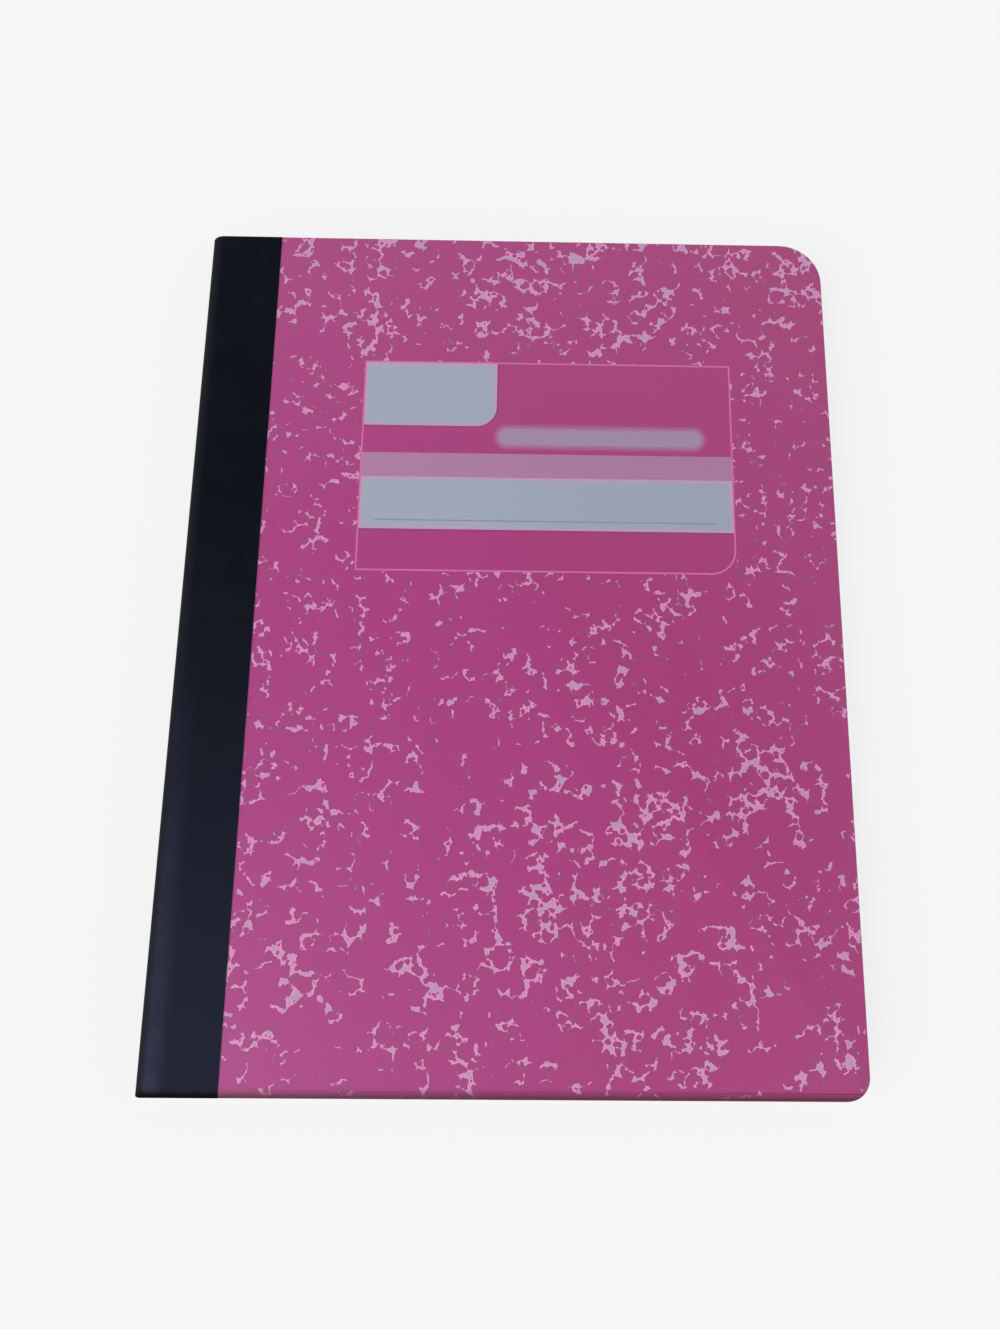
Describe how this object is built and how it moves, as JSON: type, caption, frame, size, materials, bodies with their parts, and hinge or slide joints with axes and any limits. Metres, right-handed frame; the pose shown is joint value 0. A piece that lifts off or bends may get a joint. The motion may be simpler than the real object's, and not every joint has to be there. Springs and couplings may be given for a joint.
{
  "type": "composition notebook",
  "caption": "Sewn composition notebook with a marbled card cover, plain printed label fields, a dark cloth spine tape and rounded fore-edge corners.",
  "frame": {"origin": "middle of the footprint, on the surface that the closed notebook lies on", "axes": "+X from the spine to the fore-edge, +Y from tail to head, +Z out of the front cover"},
  "size_m": [0.1906, 0.2476, 0.01],
  "materials": {
    "pages": "matte",
    "card": "matte",
    "front_card": "satin",
    "back_card": "satin",
    "tape": "satin",
    "thread": "matte",
    "outline_ink": "satin",
    "pale_ink": "satin",
    "bar_ink": "satin",
    "band_ink": "satin",
    "rule_ink": "satin"
  },
  "bodies": {
    "block": {"page_block": "pages", "cover_spine": "card", "spine_tape": "tape", "needle_thread": "thread", "bobbin_thread": "thread"},
    "front": {"front_cover": "front_card", "tape_front_flap": "tape", "label_outline": "outline_ink", "label_panel": "pale_ink", "title_bar": "bar_ink", "label_band": "band_ink", "name_field": "pale_ink", "name_rule": "rule_ink"},
    "back": {"back_cover": "back_card", "tape_back_flap": "tape"}
  },
  "joints": [
    {"name": "front_cover_crease", "type": "hinge", "parent": "block", "child": "front", "pos_m": [-0.09085, 0, 0.01005], "axis": [0, -1, 0], "range_deg": [0, 180]},
    {"name": "back_cover_crease", "type": "hinge", "parent": "block", "child": "back", "pos_m": [-0.09085, 0, -0.00005], "axis": [0, 1, 0], "range_deg": [0, 180]}
  ]
}
